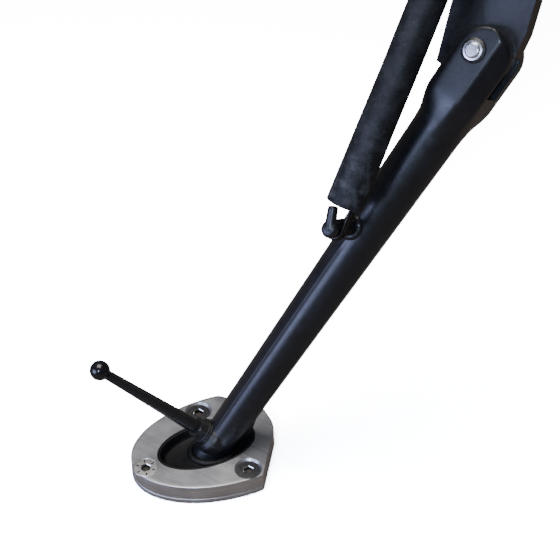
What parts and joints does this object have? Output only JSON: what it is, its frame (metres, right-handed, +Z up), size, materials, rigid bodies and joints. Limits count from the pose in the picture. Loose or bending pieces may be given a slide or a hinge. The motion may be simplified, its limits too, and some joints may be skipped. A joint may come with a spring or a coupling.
{
  "type": "motorcycle side stand",
  "caption": "Forked side stand leg on a frame bracket, with a foot enlargement plate, a ball-ended foot tang and sleeved return springs.",
  "frame": {"origin": "middle of the bracket's two bolt holes, on its back face", "axes": "+X forward on the motorcycle, +Y outboard to the left, +Z up; the stand is deployed"},
  "size_m": [0.1903, 0.22, 0.3807],
  "materials": {
    "satin_black_paint": "satin black paint over a forging",
    "brushed_aluminium": "brushed",
    "black_oxide": "black oxide",
    "stainless": "bright",
    "zinc_steel": "zinc plated",
    "dark_steel": "phosphated",
    "spring_steel": "oiled, dark",
    "bronze": "sintered bronze",
    "seal_rubber": "matt",
    "sleeve_rubber": "matt, dusty"
  },
  "bodies": {
    "bracket": {"frame_bracket": "satin_black_paint", "pivot_bush": "bronze", "dust_seals": "seal_rubber", "anchor_post": "zinc_steel", "anchor_clip": "dark_steel"},
    "leg": {"leg_forging": "satin_black_paint", "foot_pad": "satin_black_paint", "foot_gusset": "satin_black_paint", "foot_weld": "satin_black_paint", "hook_post": "satin_black_paint", "hook_weld": "satin_black_paint", "tang_boss": "satin_black_paint", "tang_washer": "satin_black_paint", "tang_nut": "satin_black_paint", "tang_rod": "satin_black_paint", "lower_plate": "brushed_aluminium", "upper_ring": "brushed_aluminium", "black_screws": "black_oxide", "bright_screw": "stainless", "pivot_bolt": "zinc_steel", "pivot_washer": "zinc_steel", "pivot_nut": "zinc_steel"},
    "spring": {"outer_spring": "spring_steel", "inner_spring": "spring_steel", "spring_sleeve": "sleeve_rubber"}
  },
  "joints": [
    {"name": "leg_pivot", "type": "hinge", "parent": "bracket", "child": "leg", "pos_m": [-0.03, 0.038, -0.088], "axis": [0, 0.8965, 0.4431], "range_deg": [0, 100], "stiffness_Nm_per_rad": 3, "springref_deg": -68.75},
    {"name": "spring_swing", "type": "hinge", "parent": "leg", "child": "spring", "pos_m": [0.01613, 0.12161, -0.17819], "axis": [0, 0.8965, 0.4431], "range_deg": [-28, 0], "deforming": ["outer_spring", "inner_spring"]}
  ],
  "couplings": [
    {"joint": "spring_swing", "follows": "leg_pivot", "ratio": -0.27505}
  ]
}
